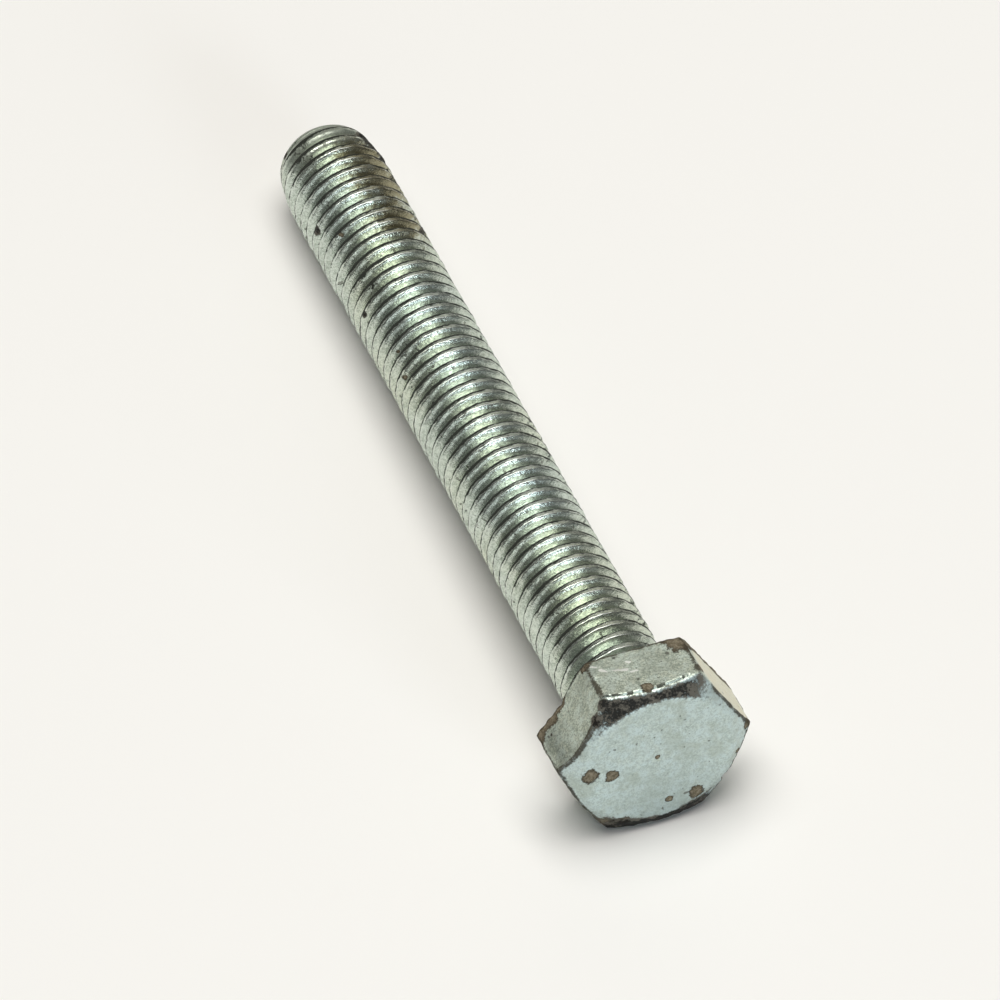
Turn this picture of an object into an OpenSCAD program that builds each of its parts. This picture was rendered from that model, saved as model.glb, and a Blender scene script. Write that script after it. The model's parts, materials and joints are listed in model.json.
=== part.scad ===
// Hexagon head bolt, threaded to the head, lying on its side as it comes to rest.
// Lengths are in millimetres and angles in degrees.

/* [Thread] */
// Thread diameter over the crests
thread_d = 8; // [6:0.1:12]
// Distance from one thread crest to the next
thread_pitch = 1.25; // [1:0.05:1.75]
// Length from the bearing face to the tip
shank_length = 64.4; // [40:0.1:80]
// Length from the bearing face to the first full crest
neck_length = 2; // [1.5:0.1:4]
// Length over which the crests are drawn in towards the tip
lead_taper = 3; // [2:0.1:5]
// How far the crests are drawn in there
lead_drop = 0.45; // [0.2:0.05:0.6]
// Length of the 45 degree chamfer at the tip
tip_chamfer = 0.9; // [0.6:0.05:1.2]

/* [Head] */
// Width of the head across its flats
head_width = 13; // [12:0.1:18]
// Height of the head above the bearing face, with its washer face
head_height = 5.3; // [4.5:0.1:8]
// How far the round edge of the top face lies inside the flats
top_face_inset = 0.7; // [0.3:0.05:1.2]
// Slope of the chamfer from the top face down to the corners
head_chamfer_angle = 30; // [15:1:35]
// How far the washer face under the head lies inside the flats
washer_face_inset = 0.6; // [0.3:0.05:1]
// Height of the washer face
washer_face_height = 0.2; // [0.1:0.05:0.6]
// Radius of the fillet between the washer face and the neck
neck_fillet = 0.4; // [0.2:0.05:0.6]

/* [Hidden] */

// The 60 degree thread triangle is cut off by an eighth at the crest and a sixth at the root
triangle_height = thread_pitch * sqrt(3) / 2;
crest_r = thread_d / 2;
apex_r = crest_r + triangle_height / 8;
root_r = apex_r - triangle_height * 5 / 6;
root_half_width = thread_pitch / 12;

// Thread is rolled on a blank of the pitch diameter, which the neck keeps
neck_r = crest_r - triangle_height * 3 / 8;

// Flat facets in each turn of the thread, and turns that the blank trims off at each end
thread_facets = 18;
spare_turns = 1;

corner_r = head_width / 2 / cos(30);
top_face_r = head_width / 2 - top_face_inset;
washer_face_r = head_width / 2 - washer_face_inset;

// The bolt rests on the inner edge of one flat of its head and on the last full crest
full_thread_end = shank_length - tip_chamfer - lead_taper;
rest_tilt = atan((head_width / 2 - crest_r) / (full_thread_end + washer_face_height));

$fn = 72;

// Lays the axis down along +Y, with one flat of the head and the tip on the floor
module at_rest() {
    rotate([-90 - rest_tilt, 0, 0]) children();
}

// Corners of the thread form over one pitch, as [radius, height]
thread_form = [
    [root_r, -root_half_width],
    [root_r, root_half_width],
    [apex_r, thread_pitch / 2]
];

function on_helix(corner, turn) =
    [corner[0] * cos(360 * turn), corner[0] * sin(360 * turn), corner[1] + thread_pitch * turn];

// A right-handed screw of sharp thread that rises from Z = 0, with each end closed by a fan onto the axis
module sharp_screw(turns) {
    corners = len(thread_form);
    steps = turns * thread_facets;
    points = [
        for (step = [0 : steps + thread_facets]) for (corner = thread_form)
            on_helix(corner, step / thread_facets),
        [0, 0, 0],
        [0, 0, thread_pitch * (turns + 1)]
    ];
    low_centre = len(points) - 2;
    high_centre = len(points) - 1;
    // Past its last corner the form goes on with the first corner of the turn above
    function index(step, corner) =
        corner < corners ? step * corners + corner : (step + thread_facets) * corners;
    function rim(start) = [
        for (corner = [0 : corners]) index(start, corner),
        for (step = [thread_facets - 1 : -1 : 0]) index(start + step, 0)
    ];
    low_rim = rim(0);
    high_rim = rim(steps);
    polyhedron(points, [
        for (step = [0 : steps - 1]) for (corner = [0 : corners - 1]) each [
            [index(step, corner), index(step, corner + 1), index(step + 1, corner + 1)],
            [index(step, corner), index(step + 1, corner + 1), index(step + 1, corner)]
        ],
        for (i = [1 : len(low_rim) - 1]) [low_centre, low_rim[i], low_rim[i - 1]],
        for (i = [1 : len(high_rim) - 1]) [high_centre, high_rim[i - 1], high_rim[i]]
    ]);
}

// The shank over its crests, with a cone where the thread runs out, and a taper and a chamfer at the tip
module shank_envelope() {
    thread_depth = crest_r - root_r;
    rotate_extrude()
        polygon([
            [0, neck_length - thread_depth],
            [root_r, neck_length - thread_depth],
            [crest_r, neck_length],
            [crest_r, full_thread_end],
            [crest_r - lead_drop, shank_length - tip_chamfer],
            [crest_r - lead_drop - tip_chamfer, shank_length],
            [0, shank_length]
        ]);
}

module threaded_shank() {
    first_turn = floor(neck_length / thread_pitch) - spare_turns - 1;
    last_turn = ceil(shank_length / thread_pitch) + spare_turns;
    intersection() {
        shank_envelope();
        translate([0, 0, first_turn * thread_pitch]) sharp_screw(last_turn - first_turn);
    }
}

// The plain neck, which is sunk into the head and flares into the washer face
module neck() {
    rotate_extrude() {
        translate([0, -head_height / 2]) square([neck_r, head_height / 2 + neck_length]);
        difference() {
            translate([0, -washer_face_height])
                square([neck_r + neck_fillet, washer_face_height + neck_fillet]);
            translate([neck_r + neck_fillet, neck_fillet]) circle(neck_fillet);
        }
    }
}

// The forged hexagon, with its chamfered top at the bottom of Z and a washer face on Z = 0
module head() {
    chamfer_drop = (corner_r - top_face_r) * tan(head_chamfer_angle);
    intersection() {
        translate([0, 0, -head_height])
            linear_extrude(head_height - washer_face_height) circle(corner_r, $fn = 6);
        rotate_extrude()
            polygon([
                [0, -head_height],
                [top_face_r, -head_height],
                [corner_r, chamfer_drop - head_height],
                [corner_r, 0],
                [0, 0]
            ]);
    }
    translate([0, 0, -head_height / 2]) cylinder(h = head_height / 2, r = washer_face_r);
}

module bolt() {
    color("lightsteelblue") at_rest() {
        threaded_shank();
        neck();
        head();
    }
}

bolt();
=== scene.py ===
import json
import math

import bmesh
import bpy
import numpy as np
from mathutils import Euler, Matrix, Vector, noise


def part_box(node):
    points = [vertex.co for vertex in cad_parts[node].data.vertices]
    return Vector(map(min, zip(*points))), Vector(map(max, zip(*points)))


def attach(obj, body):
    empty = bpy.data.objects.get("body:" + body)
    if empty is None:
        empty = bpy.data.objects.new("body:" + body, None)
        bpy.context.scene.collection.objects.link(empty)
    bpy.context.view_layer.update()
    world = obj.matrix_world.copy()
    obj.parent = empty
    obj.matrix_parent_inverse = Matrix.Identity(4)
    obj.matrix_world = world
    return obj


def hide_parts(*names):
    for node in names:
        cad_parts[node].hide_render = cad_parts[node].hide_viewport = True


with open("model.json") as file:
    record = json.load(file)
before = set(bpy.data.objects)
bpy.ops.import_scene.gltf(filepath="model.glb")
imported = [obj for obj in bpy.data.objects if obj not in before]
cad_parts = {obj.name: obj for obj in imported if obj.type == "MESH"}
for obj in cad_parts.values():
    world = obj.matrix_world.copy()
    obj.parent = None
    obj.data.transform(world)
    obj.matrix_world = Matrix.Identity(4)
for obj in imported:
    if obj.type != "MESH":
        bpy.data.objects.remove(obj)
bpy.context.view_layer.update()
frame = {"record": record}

# The bolt: one piece of steel wire, cold-headed to a hexagon and rolled with a right-handed
# thread up to the head, then zinc plated. It lies loose on a flat of its head and on its tip,
# and years of use have knocked its corners and let rust through the plating.
MM = 0.001
mounts = {mount["name"]: mount for mount in frame["record"]["mounts"]}
axis = Vector(mounts["thread"]["axis"]).normalized()
low_corner, high_corner = (np.array(corner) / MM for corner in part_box("bolt"))

# Sizes of the shank in millimetres. Heights run along the axis, from the bearing face to the tip
crest_r = mounts["thread"]["dims"]["r_mm"]
pitch = 1.25
crest_flat = 0.42
neck_fillet = 0.4
neck_length = 2.0
lead_taper = 3.0
lead_drop = 0.45
tip_chamfer = 0.9
lead_start = neck_length + mounts["thread"]["dims"]["length_mm"]
chamfer_start = lead_start + lead_taper
shank_length = chamfer_start + tip_chamfer

# The 60 degree thread form, rolled on a blank of the pitch diameter that the neck keeps
triangle_height = pitch * math.sqrt(3) / 2
flank_slope = math.sqrt(3)
root_r = crest_r - triangle_height * 17 / 24
neck_r = crest_r - triangle_height * 3 / 8

# Rounding of the roots, of the crests, and of the edges that the taper and the chamfer leave
root_round = 0.12
crest_round = 0.03
crest_rise = 0.01
taper_round = 0.2
taper_rise = 0.05
chamfer_round = 0.6


def smooth_min(a, b, blend):
    """The lesser of two sizes, with the corner between them rounded over the blend."""
    overlap = np.maximum(blend - np.abs(a - b), 0) / blend
    return np.minimum(a, b) - overlap ** 2 * blend / 4


def tip_radius(along):
    """Radius that the tip's taper and chamfer leave, with the edges between them worn round."""
    taper = crest_r - lead_drop * (along - lead_start) / lead_taper
    chamfer = crest_r - lead_drop - (along - chamfer_start)
    return smooth_min(smooth_min(taper, crest_r + taper_rise, taper_round), chamfer, chamfer_round)


def shank_radius(along, turn):
    """Radius of the shank at a height above the bearing face and a turn round the axis."""
    phase = along / pitch - turn
    from_crest = pitch / 2 - np.abs(phase - np.round(phase)) * pitch
    radius = crest_r - (from_crest - crest_flat / 2) * flank_slope
    radius = -smooth_min(-radius, -root_r, root_round)
    radius = smooth_min(radius, crest_r + crest_rise, crest_round)
    run_out = np.clip((along - neck_length) / pitch, 0, 1)
    radius = np.maximum(radius, neck_r + (root_r - neck_r) * run_out)
    radius = np.minimum(radius, np.maximum(neck_r, crest_r - (neck_length - along)))
    return smooth_min(radius, tip_radius(along), root_round)


# The shank's rows follow the helix, and those past an end close up on that end's ring.
# The form gives the rows of one pitch, with the root at 0 and the middle of the crest at 0.5
shank_columns = 96
turns = np.arange(shank_columns) / shank_columns
half_form = np.array([0.0, 0.06, 0.2, 0.318, 0.336, 0.36, 0.42])
form = np.concatenate([half_form, [0.5], 1 - half_form[:0:-1]])
first_pitch = math.floor(neck_fillet / pitch) - 2
last_pitch = math.ceil(shank_length / pitch) + 1
row_heights = (np.arange(first_pitch, last_pitch)[:, None] + form).ravel() * pitch
shank_rows = len(row_heights)
shank_along = np.clip(row_heights[:, None] + pitch * turns, neck_fillet, shank_length)
rolled_r = shank_radius(shank_along, turns)


def in_space(radius, along, angles):
    """Points at a radius, a height and an angle round the axis."""
    across = [radius * np.cos(angles), radius * np.sin(angles), along]
    return np.stack(np.broadcast_arrays(*across), axis=-1).reshape(-1, 3)


def rough(spots, layers):
    """Smooth noise at each spot, as a sum of layers that each have a depth and a size of lump."""
    return sum(depth * np.array([noise.noise(Vector(spot)) for spot in spots / lump])
               for depth, lump in layers)


# Rolled crests are a little ragged, and the flanks are never quite even
crest_lumps = [(0.055, 0.5), (0.03, 1.8)]
flank_lumps = [(0.012, 0.7)]
ragged_depth = 0.25
ragged_fade = 0.2
even_ends = 0.5
shank_angles = 2 * math.pi * turns
rolled_points = in_space(rolled_r, shank_along, shank_angles)
from_ends = np.minimum(shank_along - neck_fillet, shank_length - shank_along)
inside = np.clip(from_ends / even_ends, 0, 1).ravel()
crest_share = np.clip((rolled_r.ravel() - crest_r + ragged_depth) / ragged_fade, 0, 1)
unevenness = rough(rolled_points, crest_lumps) * crest_share + rough(rolled_points, flank_lumps)
uneven_r = rolled_r + (inside * unevenness).reshape(rolled_r.shape)
shank_points = in_space(uneven_r, shank_along, shank_angles)

# Sizes of the head, whose heights are below the bearing face, down to the head's own face
half_side = math.radians(30)
head_width = (high_corner[0] - low_corner[0]) * math.cos(half_side)
head_height = 5.3
top_face_inset = 0.7
washer_face_inset = 0.6
washer_face_height = 0.2
chamfer_slope = math.tan(math.radians(30))
corner_r = head_width / 2 / math.cos(half_side)
top_face_r = head_width / 2 - top_face_inset
washer_face_r = head_width / 2 - washer_face_inset

# Rounding of the corners and edges of the head, and how far the plating is worn beside a corner
corner_blunt = 0.02
corner_round = 0.08
corner_worn = 0.38
washer_round = 0.06
back_round = 0.14
flat_round = 0.16
face_round = 0.25

# The head's rings have three points for each one of the shank's, from the neck to the middle of the face
steps_each = 3
head_columns = steps_each * shank_columns
head_angles = np.arange(head_columns) / head_columns * 2 * math.pi
head_degrees = np.degrees(head_angles)
from_corner = np.radians(np.abs((head_degrees + 30) % 60 - 30))
sharp_r = head_width / 2 / np.cos(half_side - from_corner)
hexagon_r = smooth_min(sharp_r, corner_r - corner_blunt, corner_round)
corner_wear = np.exp(-(corner_r * from_corner / corner_worn) ** 2)
rings = []


def all_round(values):
    """Values that are each spread over all the columns of the head."""
    return np.array([np.broadcast_to(value, head_columns) for value in values], dtype=float)


def add_ring(radius, along, wear=0.0, dirt_and_shadow=0.0):
    """Adds one ring of the head: its radius and height, how far wear shows on it, and how far soil and a
    painted shadow darken it.
    """
    rings.append(all_round((radius, along, wear, dirt_and_shadow)))


def rounded_edge(before, edge, after, size, wear=1.0, steps=5, dirt_and_shadow=(0.0, 0.0)):
    """Rings along an edge that is rounded by a curve reaching the given size to each side of it."""
    before, edge, after = (all_round(corner) for corner in (before, edge, after))
    back, ahead = ((end - edge) / np.linalg.norm(end - edge, axis=0) * size for end in (before, after))
    for step in np.linspace(0, 1, steps):
        point = edge + back * (1 - step) ** 2 + ahead * step ** 2
        add_ring(*point, wear, dirt_and_shadow[0] * (1 - step) + dirt_and_shadow[1] * step)


# The underside: the washer face, and the plain hexagon behind it
underside = -washer_face_height
chamfer_edge = -head_height + (hexagon_r - top_face_r) * chamfer_slope
add_ring(neck_r + neck_fillet, 0)
rounded_edge((neck_r, 0), (washer_face_r, 0), (washer_face_r, underside), washer_round, wear=0.0, steps=3)
add_ring(washer_face_r, underside)
hexagon_from = len(rings)
rounded_edge((washer_face_r, underside), (hexagon_r, underside), (hexagon_r, chamfer_edge), back_round)
flats_from = len(rings) - 2

# The flats, then the chamfer and the face inside it. Dirt has darkened the upper chamfer, and along the
# lower one and onto the face's edge a contact shadow is painted black. The plating has lasted along the top
# edge. The top of the head is at 270 degrees
flat_rings = 14
face_rings = 25
upwards = np.exp(-((head_degrees - 264) / 43) ** 4)
downwards = np.exp(-((head_degrees - 90) / 36) ** 4)
top_edge = np.exp(-((head_degrees - 270) / 38) ** 8)
soiled_and_shaded = upwards + 2 * downwards
for share in np.linspace(0, 1, flat_rings + 2)[1:-1]:
    add_ring(hexagon_r, underside + (chamfer_edge - underside) * share, corner_wear)
# Along the bottom of the head the chamfer's dark mark, here and on the face's edge, is a painted contact
# shadow
rounded_edge((hexagon_r, underside), (hexagon_r, chamfer_edge), (top_face_r, -head_height),
             flat_round * (1 + upwards), wear=1 - 0.75 * top_edge, dirt_and_shadow=(0.0, soiled_and_shaded))
face_from = len(rings) - 3
add_ring((hexagon_r + top_face_r) / 2, (chamfer_edge - head_height) / 2, dirt_and_shadow=soiled_and_shaded)
rounded_edge((hexagon_r, chamfer_edge), (top_face_r, -head_height), (0, -head_height),
             face_round, wear=0.3, dirt_and_shadow=(soiled_and_shaded, 0.4 * downwards))
for share in np.linspace(1, 0, face_rings + 3)[2:-1]:
    add_ring(top_face_r * share, -head_height)
head_rings = len(rings)
ring_radius, ring_along, ring_wear, ring_dirt_and_shadow = np.stack(rings, axis=1)
head_points = in_space(ring_radius, ring_along, head_angles)
edge_wear = ring_wear.ravel()
chamfer_dirt = ring_dirt_and_shadow.ravel()

# A spanner has turned the left corner over a little
turned_depth = 0.6
turned_reach = 1.8
from_left_corner = np.linalg.norm(head_points[:, :2] - (-corner_r, 0), axis=1)
head_points[:, 1] -= turned_depth * np.exp(-(from_left_corner / turned_reach) ** 2)

# Knocks on the head: where each one is, how far it reaches and how deep it goes
knocks = [
    ((3.8, -6.5, -0.1), 0.8, 0.10),
    ((-3.8, -6.5, -0.1), 0.6, 0.12),
    ((-7.5, 0.0, -0.1), 0.6, 0.10),
    ((-5.6, -3.2, -0.2), 0.5, 0.22),
    ((-3.8, 6.4, -4.6), 0.6, 0.06),
    ((7.4, -0.2, -4.6), 0.5, 0.12),
    ((5.2, 3.9, -4.9), 0.4, 0.20),
    ((-0.4, -6.5, -4.9), 0.6, 0.10),
    ((3.9, -6.4, -4.6), 0.5, 0.10),
]
edge_lumps = [(0.08, 0.45)]
edge_loss = 0.008
skin_lumps = [(0.025, 1.1), (0.012, 0.5)]
knock_lumps = [(0.6, 0.4)]
head_middle = np.array([0, 0, -head_height / 2])
inwards = head_middle - head_points
inwards /= np.linalg.norm(inwards, axis=1)[:, None]
broken = edge_wear * (rough(head_points, edge_lumps) + edge_loss) + rough(head_points, skin_lumps)
knock_grain = 1 + rough(head_points, knock_lumps)
for knock, reach, depth in knocks:
    closeness = np.clip(1 - np.linalg.norm(head_points - knock, axis=1) / reach, 0, 1)
    broken += depth * closeness * knock_grain
on_washer_face = np.repeat(np.arange(head_rings) < hexagon_from, head_columns)
head_points += inwards * np.where(on_washer_face, 0, broken)[:, None]

# The neck's fillet and the end points close the two lattices into one skin
fillet_steps = 5
fillet_points = [
    in_space(neck_r + neck_fillet * (1 - math.cos(lean)), neck_fillet * (1 - math.sin(lean)), shank_angles)
    for lean in np.radians(np.linspace(0, 90, fillet_steps + 1)[1:])
]
end_points = np.array([(0, 0, shank_length), (0, 0, -head_height)])
points = np.concatenate([shank_points, *fillet_points, head_points, end_points])
fillet_start = len(shank_points)
head_start = fillet_start + fillet_steps * shank_columns
tip_point = len(points) - 2
face_point = len(points) - 1

# The skin laid flat, in millimetres: the shank in two strips side by side, the flats above them,
# and the two faces of the head and the end of the tip in a column beside them
map_size = 67.0
map_margin = 0.3
strip_width = 2 * math.pi * crest_r
strip_height = 58.0
strip_rows = shank_rows // 2
row_height = (strip_height - 2 * map_margin) / strip_rows
flats_at = (0.5, strip_height + 1)
underside_at = (59.2, 8.0)
face_at = (59.2, 24.0)
tip_at = (55.5, 36.0)
fillet_at = (0.5, 65.5)
fillet_column_width = 0.4
fillet_row_height = 0.2
faces = []
face_maps = []


def add_face(corners, places):
    """Adds one face with each corner's place on the flat map."""
    faces.append(corners)
    face_maps.extend(places)


def shank_index(row, column):
    """Index of a point of the shank; past the last column the row goes on one pitch higher."""
    if column < shank_columns:
        return row * shank_columns + column
    return min(row + len(form), shank_rows - 1) * shank_columns


def flat_place(index, at):
    """Place on the flat map of a point that is seen along the axis."""
    return at[0] + points[index][0], at[1] + points[index][1]


for row in range(shank_rows - 1):
    strip = 0 if row < strip_rows else 1
    strip_left = map_margin + strip * (strip_width + 2 * map_margin)
    bottom = map_margin + (row - strip * strip_rows) * row_height
    top = bottom + row_height
    for column in range(shank_columns):
        corners = [(row, column), (row, column + 1), (row + 1, column + 1), (row + 1, column)]
        left, right = (strip_left + step / shank_columns * strip_width for step in (column, column + 1))
        add_face([shank_index(*corner) for corner in corners],
                 [(left, bottom), (right, bottom), (right, top), (left, top)])

# The fillet's rings, from the lowest row of the shank to the washer face
fillet_rings = [0] + [fillet_start + step * shank_columns for step in range(fillet_steps)]
for ring_number, (upper, lower) in enumerate(zip(fillet_rings, fillet_rings[1:])):
    low = fillet_at[1] + ring_number * fillet_row_height
    high = low + fillet_row_height
    for column in range(shank_columns):
        following = (column + 1) % shank_columns
        left = fillet_at[0] + column * fillet_column_width
        right = left + fillet_column_width
        add_face([upper + following, upper + column, lower + column, lower + following],
                 [(right, low), (left, low), (left, high), (right, high)])

# One wide face joins each step of the fillet to three steps of the washer face
for column in range(shank_columns):
    following = (column + 1) % shank_columns
    head_steps = steps_each * column + np.arange(steps_each + 1)
    head_side = (head_start + head_steps % head_columns).tolist()
    corners = [fillet_rings[-1] + following, fillet_rings[-1] + column, *head_side]
    add_face(corners, [flat_place(corner, underside_at) for corner in corners])

# The head's rings: on the map the flats are unrolled, and the rest is seen along the axis
flats_width = 6 * corner_r
for ring_number in range(head_rings - 1):
    upper = head_start + ring_number * head_columns
    lower = upper + head_columns
    for column in range(head_columns):
        following = (column + 1) % head_columns
        corners = [upper + following, upper + column, lower + column, lower + following]
        if flats_from <= ring_number < face_from:
            steps = (column + 1, column, column, column + 1)
            places = [(flats_at[0] + step / head_columns * flats_width, flats_at[1] - points[corner][2])
                      for step, corner in zip(steps, corners)]
        else:
            at = underside_at if ring_number < flats_from else face_at
            places = [flat_place(corner, at) for corner in corners]
        add_face(corners, places)

# A fan of faces closes the tip, and another one the middle of the head's face
fans = [
    ((shank_rows - 1) * shank_columns, shank_columns, tip_point, tip_at),
    (tip_point - head_columns, head_columns, face_point, face_at),
]
for start, columns, end, at in fans:
    for column in range(columns):
        corners = [start + column, start + (column + 1) % columns, end]
        add_face(corners, [flat_place(corner, at) for corner in corners])

# The skin laid down as the bolt rests
lay_down = Matrix.LocRotScale(None, Vector((0, 0, 1)).rotation_difference(axis), (MM, MM, MM))
lie_flat = np.array(lay_down.to_3x3())
bolt_mesh = bpy.data.meshes.new("bolt_plated")
bolt_mesh.from_pydata((points @ lie_flat.T).tolist(), [], faces)
flat_map = bolt_mesh.uv_layers.new(name="OFBake")
flat_map.data.foreach_set("uv", (np.array(face_maps) / map_size).ravel())


def round_at(middle, width):
    """Share for each column of the shank: 1 at an angle round the axis, fading over a width in degrees."""
    off = (np.degrees(shank_angles) - middle + 180) % 360 - 180
    return np.exp(-(off / width) ** 2)


# Dirt and painted shade sit on the crests, from their near edge on; the shade stands for the thread's dark
# gaps and dark reflections.
# How much they hold changes round the shank: each band adds or takes a share at an angle, over a width; the
# lines fade near the head on the upper side and darken towards the tip
near_edge = 0.36
far_edge = 0.67
crest_dark_rise = 0.3
usual_dirt_and_shade = 0.62
dirt_and_shade_bands = [(0.33, 229, 15), (-0.27, 290, 12), (0.33, 335, 28), (-0.1, 265, 9), (-0.22, 195, 16)]
row_phase = np.tile(form, last_pitch - first_pitch)
on_thread = (shank_along > neck_length) & (shank_along < chamfer_start)
on_crest = np.clip((row_phase - near_edge) / crest_dark_rise, 0, 1) * (row_phase < far_edge)
crest_dirt = on_crest[:, None] * on_thread
bands = sum(share * round_at(middle, width) for share, middle, width in dirt_and_shade_bands)
lighter_near_head = 0.3 * np.exp(-(shank_along / 12) ** 2) * round_at(285, 28)
darker_towards_tip = 0.13 * np.clip((shank_along - 22) / 20, 0, 1) * round_at(250, 18)
held_dirt = usual_dirt_and_shade + bands - lighter_near_head + darker_towards_tip

# A highlight is painted on the near edges of the full crests on top
on_near_edge = (row_phase > 0.33) & (row_phase < 0.37)
crest_shine = on_near_edge[:, None] * (on_thread & (shank_along < lead_start)) * round_at(274, 20)
on_face_rings = np.repeat(np.arange(head_rings) >= face_from, head_columns)

# The mesh carries these marks from point to point, each from the first point of its lattice
marks = [
    ("on_shank", 0, np.ones(fillet_start)),
    # The crest and chamfer marks carry painted shade and a painted shadow with the soil, and crest_shine
    # carries a painted highlight
    ("crest_dirt", 0, crest_dirt.ravel()),
    ("held_dirt", 0, held_dirt.ravel()),
    ("crest_shine", 0, crest_shine.ravel()),
    ("on_face", head_start, on_face_rings),
    ("edge_wear", head_start, edge_wear),
    ("chamfer_dirt", head_start, chamfer_dirt),
]
for name, start, values in marks:
    spread = np.zeros(len(points))
    spread[start:start + len(values)] = values
    bolt_mesh.attributes.new(name, "FLOAT", "POINT").data.foreach_set("value", spread)

# Points that fell together where rows close up are joined
joined_within = 0.002 * MM
shell = bmesh.new()
shell.from_mesh(bolt_mesh)
bmesh.ops.remove_doubles(shell, verts=shell.verts, dist=joined_within)
bmesh.ops.recalc_face_normals(shell, faces=shell.faces)
shell.to_mesh(bolt_mesh)
shell.free()
bolt_mesh.shade_smooth()
bolt = bpy.data.objects.new("bolt_plated", bolt_mesh)
bpy.context.scene.collection.objects.link(bolt)

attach(bolt, "root")
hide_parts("bolt")


class Shade:
    """A socket in a material's nodes. Arithmetic adds Math nodes, and node() adds any other node."""

    def __init__(self, tree, socket=None):
        self.tree = tree
        self.socket = socket

    def node(self, kind, settings, inputs, output=0):
        """Adds a node with its settings and with the values or links of its sockets."""
        made = self.tree.nodes.new("ShaderNode" + kind)
        for name, setting in settings.items():
            setattr(made, name, setting)
        for name, value in inputs.items():
            if isinstance(value, Shade):
                self.tree.links.new(value.socket, made.inputs[name])
            else:
                made.inputs[name].default_value = value
        return Shade(self.tree, made.outputs[output])

    def math(self, operation, first, second):
        """Adds a Math node on two values."""
        return self.node("Math", {"operation": operation}, {0: first, 1: second})

    def vector(self, operation, inputs, output="Vector"):
        """Adds a Vector Math node."""
        return self.node("VectorMath", {"operation": operation}, inputs, output)

    def __add__(self, other):
        return self.math("ADD", self, other)

    def __sub__(self, other):
        return self.math("SUBTRACT", self, other)

    def __rsub__(self, other):
        return self.math("SUBTRACT", other, self)

    def __mul__(self, other):
        return self.math("MULTIPLY", self, other)

    def __truediv__(self, other):
        return self.math("DIVIDE", self, other)

    def __rtruediv__(self, other):
        return self.math("DIVIDE", other, self)

    __radd__ = __add__
    __rmul__ = __mul__

    def most(self, other):
        """The greater of two values."""
        return self.math("MAXIMUM", self, other)

    def within(self, low, high):
        """Rises smoothly from 0 at the low value to 1 at the high one."""
        limits = {"Value": self, "From Min": low, "From Max": high}
        return self.node("MapRange", {"interpolation_type": "SMOOTHSTEP"}, limits)

    def mix(self, first, second):
        """A colour that goes from the first to the second as this value goes from 0 to 1."""
        return self.node("Mix", {"data_type": "RGBA"}, {0: self, 6: first, 7: second}, 2)


# The plating: a dull grey-green zinc skin, blotched and finely grained
zinc = bpy.data.materials.new("zinc_plating")
zinc.use_nodes = True
zinc_nodes = Shade(zinc.node_tree)
in_metres = zinc_nodes.node("TexCoord", {}, {}, "Object")
place = zinc_nodes.vector("SCALE", {0: in_metres, "Scale": 1 / MM})


def grain(per_mm, detail, roughness):
    """Cloudy noise with so many lumps to a millimetre."""
    sizes = {"Vector": place, "Scale": per_mm, "Detail": detail, "Roughness": roughness}
    return zinc_nodes.node("TexNoise", {}, sizes)


def mark(name):
    """A mark that the mesh carries from point to point."""
    return zinc_nodes.node("Attribute", {"attribute_name": name}, {}, "Fac")


speckle = grain(9.0, 2.0, 0.7)
fine = grain(5.0, 3.0, 0.65)
blotch = grain(1.3, 3.0, 0.6)
cloud = grain(0.1, 3.0, 0.55)
on_shank = mark("on_shank")
on_face = mark("on_face")

# Zinc is bluest on the face and brightest on the shank, and grain and patches dull it
dull_on_head = (0.28, 0.335, 0.275, 1)
dull_on_face = (0.27, 0.34, 0.335, 1)
patch_grey = (0.33, 0.37, 0.31, 1)
blotched = blotch.within(0.35, 0.65)
flats_zinc = blotched.mix((0.63, 0.71, 0.63, 1), (0.64, 0.68, 0.56, 1))
face_zinc = blotched.mix((0.54, 0.645, 0.64, 1), (0.55, 0.635, 0.595, 1))
shank_zinc = cloud.within(0.4, 0.62).mix((0.68, 0.75, 0.68, 1), (0.70, 0.75, 0.63, 1))
clean_zinc = on_shank.mix(on_face.mix(flats_zinc, face_zinc), shank_zinc)
grainy = blotch * 0.2 + fine * 0.4 + speckle * 0.4
dulled = grainy.within(0.45, 0.57) * (0.85 - on_shank * 0.23 - on_face * 0.33)
dull_zinc = dulled.mix(clean_zinc, on_face.mix(dull_on_head, dull_on_face))
patchy = grain(0.5, 3.0, 0.6).within(0.48, 0.64) * (0.35 - on_shank * 0.25)
surface = patchy.mix(dull_zinc, patch_grey)


def near(spots):
    """How close a place is to the nearest of some spots: 1 at its middle and 0 at its reach."""
    nearest = None
    for spot, reach in spots:
        middle = tuple(lie_flat @ np.array(spot) / MM)
        distance = zinc_nodes.vector("DISTANCE", {0: place, 1: middle}, "Value")
        closeness = 1 - distance / reach
        nearest = closeness if nearest is None else nearest.most(closeness)
    return nearest


# Lines waver by up to half the sway to each side
sway = 0.4
sway_noise = zinc_nodes.node("TexNoise", {}, {"Vector": place, "Scale": 1.1, "Detail": 2.0}, "Color")
swayed = zinc_nodes.vector("ADD", {0: place, 1: zinc_nodes.vector("SCALE", {0: sway_noise, "Scale": sway})})
wavering = zinc_nodes.vector("SUBTRACT", {0: swayed, 1: (sway / 2, sway / 2, sway / 2)})


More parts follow.
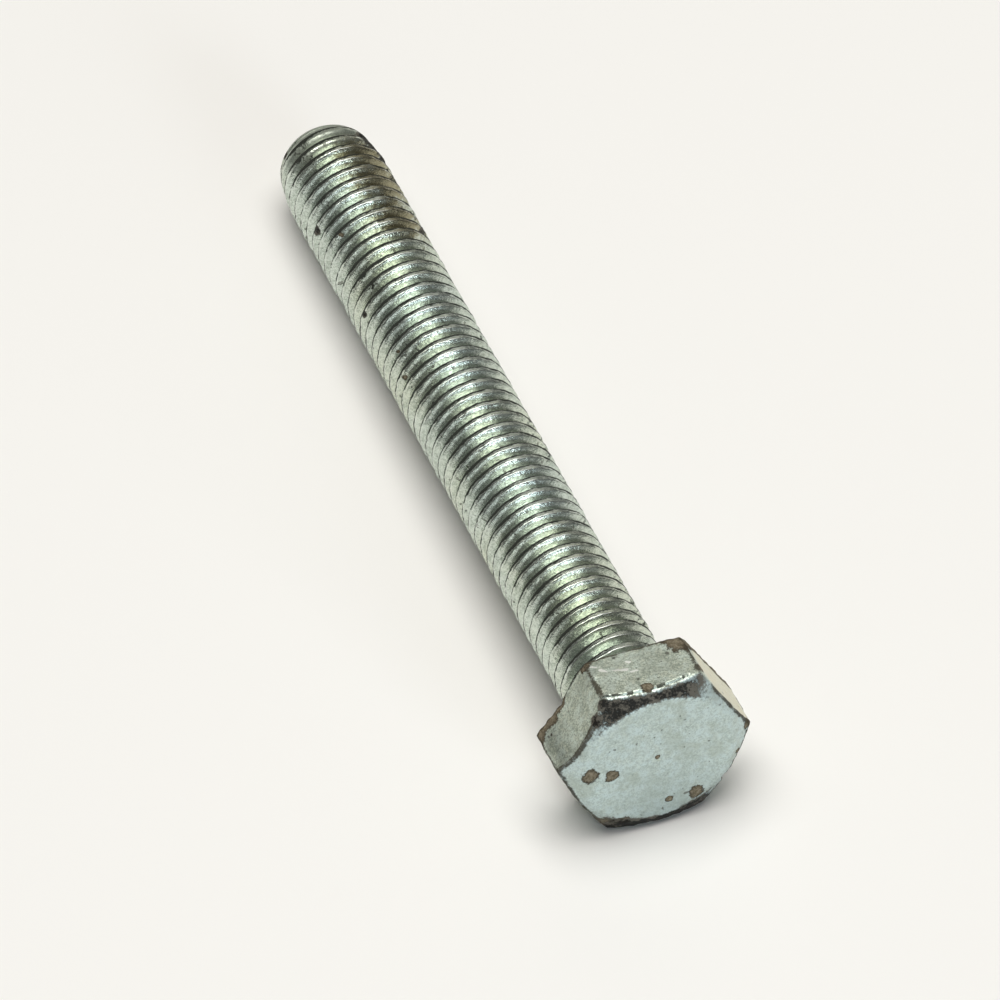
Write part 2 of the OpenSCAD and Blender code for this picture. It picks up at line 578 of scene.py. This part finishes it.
def beside(lines, width):
    """How close a place is to the nearest of some wavering lines: 1 on it and 0 at the width."""
    nearest = None
    for ends in lines:
        start, end = (lie_flat @ np.array(point) / MM for point in ends)
        run = end - start
        from_start = zinc_nodes.vector("SUBTRACT", {0: wavering, 1: tuple(start)})
        share = zinc_nodes.vector("DOT_PRODUCT", {0: from_start, 1: tuple(run / (run @ run))}, "Value")
        on_line = zinc_nodes.node("Clamp", {}, {"Value": share})
        foot = zinc_nodes.vector("SCALE", {0: tuple(run), "Scale": on_line})
        distance = zinc_nodes.vector("DISTANCE", {0: from_start, 1: foot}, "Value")
        closeness = 1 - distance / width
        nearest = closeness if nearest is None else nearest.most(closeness)
    return nearest


# Years of handling: a yellow stain and a dull patch near the tip, pits, and bright scratches on the upper
# flat. A reflection of the pale floor is painted on the right flat, and the face is greyer towards its
# bottom. Each spot has its middle and its reach
stained_places = [((2.4, -3.2, 59.5), 3.0), ((2.3, -3.3, 56.5), 3.2), ((2.3, -3.3, 52.0), 3.0)]
dull_places = [((-0.5, -2.5, 64.6), 5.0)]
floor_reflection_places = [((5.3, -3.9, -2.4), 2.8), ((6.7, -1.6, -2.4), 3.0)]
low_places = [((0.5, 6.0, -5.3), 6.5)]
scratches = [
    ((-3.5, -6.5, -0.8), (-2.9, -6.5, -1.1)),
    ((-2.9, -6.5, -1.4), (-2.3, -6.5, -1.7)),
    ((-2.3, -6.5, -1.7), (-1.0, -6.5, -2.0)),
    ((-0.8, -6.5, -1.3), (-0.6, -6.5, -1.4)),
    ((-0.8, -6.5, -2.3), (-0.5, -6.5, -2.4)),
]
scratch_width = 0.18
stain_brown = (0.31, 0.28, 0.17, 1)
tip_grey = (0.25, 0.28, 0.23, 1)
reflection_cream = (0.82, 0.78, 0.60, 1)
low_grey = (0.29, 0.35, 0.34, 1)
pit_black = (0.12, 0.12, 0.10, 1)
scratch_white = (0.85, 0.87, 0.82, 1)
ragged_edge = (blotch - 0.5) * 1.2 + (fine - 0.5) * 1.0
stain = (near(stained_places) + ragged_edge).within(-0.1, 0.6)
surface = (stain * 0.9).mix(surface, stain_brown)
dull_tip = (near(dull_places) * 1.6 + ragged_edge * 0.6).within(0.0, 1.0)
surface = (dull_tip * 0.6).mix(surface, tip_grey)
# A reflection of the pale floor, painted on the right flat
painted_reflection = near(floor_reflection_places).within(0.0, 0.3) * (1 - on_face)
surface = (painted_reflection * (0.45 + blotch * 0.6)).mix(surface, reflection_cream)
# The face grows greyer towards its bottom
low_on_face = near(low_places) + (blotch - 0.5) * 0.5
surface = (low_on_face * 0.5).mix(surface, low_grey)
pits = grain(1.9, 1.0, 0.4).within(0.72, 0.76)
surface = (pits * 0.7).mix(surface, pit_black)
scratched = (beside(scratches, scratch_width) + ragged_edge * 1.6).within(0.2, 0.6)
surface = scratched.mix(surface, scratch_white)

# Rust has come through on the face, the corners and the thread, with a darker rim to each patch
rust_spots = [
    ((-5.3, -0.3, -5.3), 0.85), ((-3.6, 0.3, -5.3), 0.7), ((2.8, 4.3, -5.3), 0.75),
    ((0.7, 4.2, -5.3), 0.4), ((-2.9, 5.3, -5.3), 0.75), ((-0.1, -0.3, -5.3), 0.24),
    ((3.4, -6.4, -0.5), 1.5), ((4.0, -6.1, -3.5), 0.5), ((-3.8, -6.4, -0.5), 0.6),
    ((-0.4, -6.5, -4.3), 0.6), ((-7.2, -0.5, -0.5), 1.3), ((-6.3, -2.1, -0.4), 0.9),
    ((-5.6, -3.2, -0.2), 0.6), ((-7.4, -0.2, -3.9), 0.5), ((-4.0, 5.4, -4.8), 1.1),
    ((7.2, -0.2, -4.5), 0.6), ((5.3, 3.8, -4.9), 0.4), ((6.2, 1.7, -4.9), 0.3),
    ((-3.3, -1.8, 37.4), 0.32), ((-3.0, -2.2, 39.6), 0.25), ((-2.6, -2.8, 52.5), 0.30),
]
rusty_edges = [((3.9, -6.3, -0.3), (7.4, -0.3, -0.3)), ((-5.7, -3.3, -0.3), (-7.3, -0.9, -0.3))]
rusty_width = 0.7
light_rust = (0.27, 0.23, 0.16, 1)
dark_rust = (0.12, 0.10, 0.065, 1)
rust_rim = (0.065, 0.055, 0.038, 1)
bare_steel = (0.05, 0.04, 0.025, 1)
rust_depth = near(rust_spots).most(beside(rusty_edges, rusty_width)) + ragged_edge * 0.65
rust = rust_depth.within(0.1, 0.3)
rust_heart = (rust_depth + (speckle - 0.5) * 0.8).within(0.25, 0.55)
rust_colour = fine.within(0.35, 0.65).mix(light_rust, dark_rust)
surface = rust.mix(surface, rust_heart.mix(rust_rim, rust_colour))
worn_edge = (mark("edge_wear") * 0.8 + ragged_edge * 0.7).within(0.45, 0.8)
surface = (worn_edge * 0.9).mix(surface, bare_steel)

# Grime has caked on the upper chamfer and at the tip, and a contact shadow is painted black along the lower
# chamfer.
# The crests' dark lines hold soil and painted shade, and a highlight is painted on their near edges on top
grimy_places = [
    ((3.3, -2.0, 62.3), 1.5), ((3.7, -1.5, 60.8), 1.2), ((2.2, -3.0, 63.8), 0.7),
    ((2.9, -2.6, 62.0), 1.0), ((-3.0, -1.6, 63.6), 0.5), ((0.9, -3.2, 64.2), 0.6),
    ((-3.0, 2.6, 64.0), 0.8), ((3.5, -1.9, 51.0), 0.8), ((-3.7, -1.5, 55.0), 0.5),
    ((-3.65, -1.6, 45.0), 0.36), ((-3.8, -6.1, -4.5), 0.7), ((-4.5, -5.0, -4.75), 0.7),
    ((-7.1, -0.7, -2.9), 0.2), ((-6.7, -1.5, -1.5), 0.2),
]
deep_black = (0.010, 0.008, 0.006, 1)
mottle_grey = (0.12, 0.11, 0.09, 1)
crest_black = (0.02, 0.022, 0.017, 1)
painted_highlight_white = (0.86, 0.89, 0.84, 1)
# Grime above, and a painted contact shadow along the bottom of the chamfer
grime_and_shadow = mark("chamfer_dirt").most(near(grimy_places) * 2)
blackened_and_shaded = (grime_and_shadow + ragged_edge).within(0.2, 0.7)
mottling = (blotch * 0.5 + fine * 0.5 - grime_and_shadow * 0.08).within(0.37, 0.52)
surface = (blackened_and_shaded * 0.98).mix(surface, mottling.mix(deep_black, mottle_grey))
# The crests' dark lines: soil in the crests and painted shade for the thread's gaps and dark reflections
crest_line = mark("crest_dirt") + mark("held_dirt") + ragged_edge * 0.8 + (cloud - 0.5) * 0.7
crest_dark = crest_line.within(1.0, 1.2)
surface = (crest_dark * 0.97).mix(surface, crest_black)
# A painted highlight on the near edges of the crests on top
shine = (mark("crest_shine") + ragged_edge * 0.8).within(0.4, 1.0)
surface = shine.mix(surface, painted_highlight_white)

# Rust, steel worn through the plating, the chamfer's soil and painted shadow, and the crests' soil and
# painted shade are less metallic than the zinc, and rougher; the painted highlight is less metallic too
bare_and_shadowed = rust.most(worn_edge).most(blackened_and_shaded)
metallic = 0.84 + on_shank * 0.04 - dull_tip * 0.15 - bare_and_shadowed * 0.76 - shine * 0.25 - crest_dark * 0.6
roughness = 0.32 - on_shank * 0.16 + dull_tip * 0.2 + blotch * 0.14 + bare_and_shadowed.most(crest_dark) * 0.4
relief = blotch * 0.2 + fine * 0.2 + speckle * 0.12 - pits * 0.3 - bare_and_shadowed * 0.2
bumps = zinc_nodes.node("Bump", {}, {"Strength": 1.0, "Distance": 0.1 * MM, "Height": relief})
finish = {"Base Color": surface, "Metallic": metallic, "Roughness": roughness, "Normal": bumps}
zinc_shader = zinc.node_tree.nodes["Principled BSDF"]
zinc_shader.inputs["Specular IOR Level"].default_value = 0.15
for socket, value in finish.items():
    zinc.node_tree.links.new(value.socket, zinc_shader.inputs[socket])
bolt_mesh.materials.append(zinc)

# The floor: a wide sheet of plain pale paper with a matt finish.
# It lies level, at the height of the bolt's lowest point, so that the bolt rests on it.
floor_height = low_corner[2] * MM
floor_half = 0.4
floor_signs = [(-1, -1), (1, -1), (1, 1), (-1, 1)]
floor_corners = [(x * floor_half, y * floor_half, floor_height) for x, y in floor_signs]
floor_mesh = bpy.data.meshes.new("floor")
floor_mesh.from_pydata(floor_corners, [], [(0, 1, 2, 3)])
floor = bpy.data.objects.new("floor", floor_mesh)
bpy.context.scene.collection.objects.link(floor)
paper = bpy.data.materials.new("paper")
paper.use_nodes = True
paper_shader = paper.node_tree.nodes["Principled BSDF"]
paper_shader.inputs["Base Color"].default_value = (0.90, 0.885, 0.85, 1)
paper_shader.inputs["Roughness"].default_value = 0.9
paper_shader.inputs["Specular IOR Level"].default_value = 0.1
floor_mesh.materials.append(paper)


# The light: a wide soft box overhead and a weak warm one behind the bolt, two panes of a cool
# window on the camera's side, and the pale wall round them. The room adds a little light all round.
def soft_box(name, stand, aim, size, power, colour):
    """A rectangular area lamp that looks from its stand to a point."""
    lamp = bpy.data.lights.new(name, "AREA")
    lamp.shape = "RECTANGLE"
    lamp.size, lamp.size_y = size
    lamp.energy = power
    lamp.color = colour
    holder = bpy.data.objects.new(name, lamp)
    holder.location = stand
    holder.rotation_euler = (Vector(aim) - Vector(stand)).to_track_quat("-Z", "Y").to_euler()
    bpy.context.scene.collection.objects.link(holder)


lit_point = (0, 0.03, 0)
soft_box("overhead_light", (-0.03, 0.02, 0.9), lit_point, (0.78, 0.78), 9.05, (1.0, 0.99, 0.97))
soft_box("back_light", (0.43, 0.84, 0.66), lit_point, (0.75, 0.62), 0.7, (1.0, 0.95, 0.88))
soft_box("window_light", (0.186, -0.83, 0.23), lit_point, (0.28, 0.3), 2.25, (0.79, 0.895, 1.0))
soft_box("window_side", (-0.175, -0.832, 0.15), lit_point, (0.42, 0.3), 0.62, (0.93, 0.98, 1.0))
soft_box("front_wall", (0.0, -0.95, 0.11), (0.0, 0.03, 0.11), (2.3, 0.2), 0.26, (0.95, 0.98, 1.0))
room = bpy.data.worlds.new("room")
bpy.context.scene.world = room
room.use_nodes = True
room_light = room.node_tree.nodes["Background"]
room_light.inputs["Color"].default_value = (0.035, 0.035, 0.034, 1)
room_light.inputs["Strength"].default_value = 1.0

# The camera: a long lens that stands off to the left of the head and above it.
# It looks down along the bolt, turned from the axis, and holds the whole of it.
camera_turn = math.radians(20.53)
camera_elevation = math.radians(45.90)
camera_roll = math.radians(-0.64)
camera_distance = 1.1956
camera_aim = Vector((-0.00125, 0.02331, 0))
camera_data = bpy.data.cameras.new("camera")
camera_data.sensor_width = 36
camera_data.lens = 590.1
camera_data.clip_end = 10
camera = bpy.data.objects.new("camera", camera_data)
looking = Vector((math.sin(camera_turn) * math.cos(camera_elevation),
                  math.cos(camera_turn) * math.cos(camera_elevation), -math.sin(camera_elevation)))
camera.location = camera_aim - looking * camera_distance
level = looking.to_track_quat("-Z", "Y")
camera.rotation_euler = (level @ Euler((0, 0, camera_roll)).to_quaternion()).to_euler()
bpy.context.scene.collection.objects.link(camera)
bpy.context.scene.camera = camera
bpy.context.scene.view_settings.view_transform = "Standard"
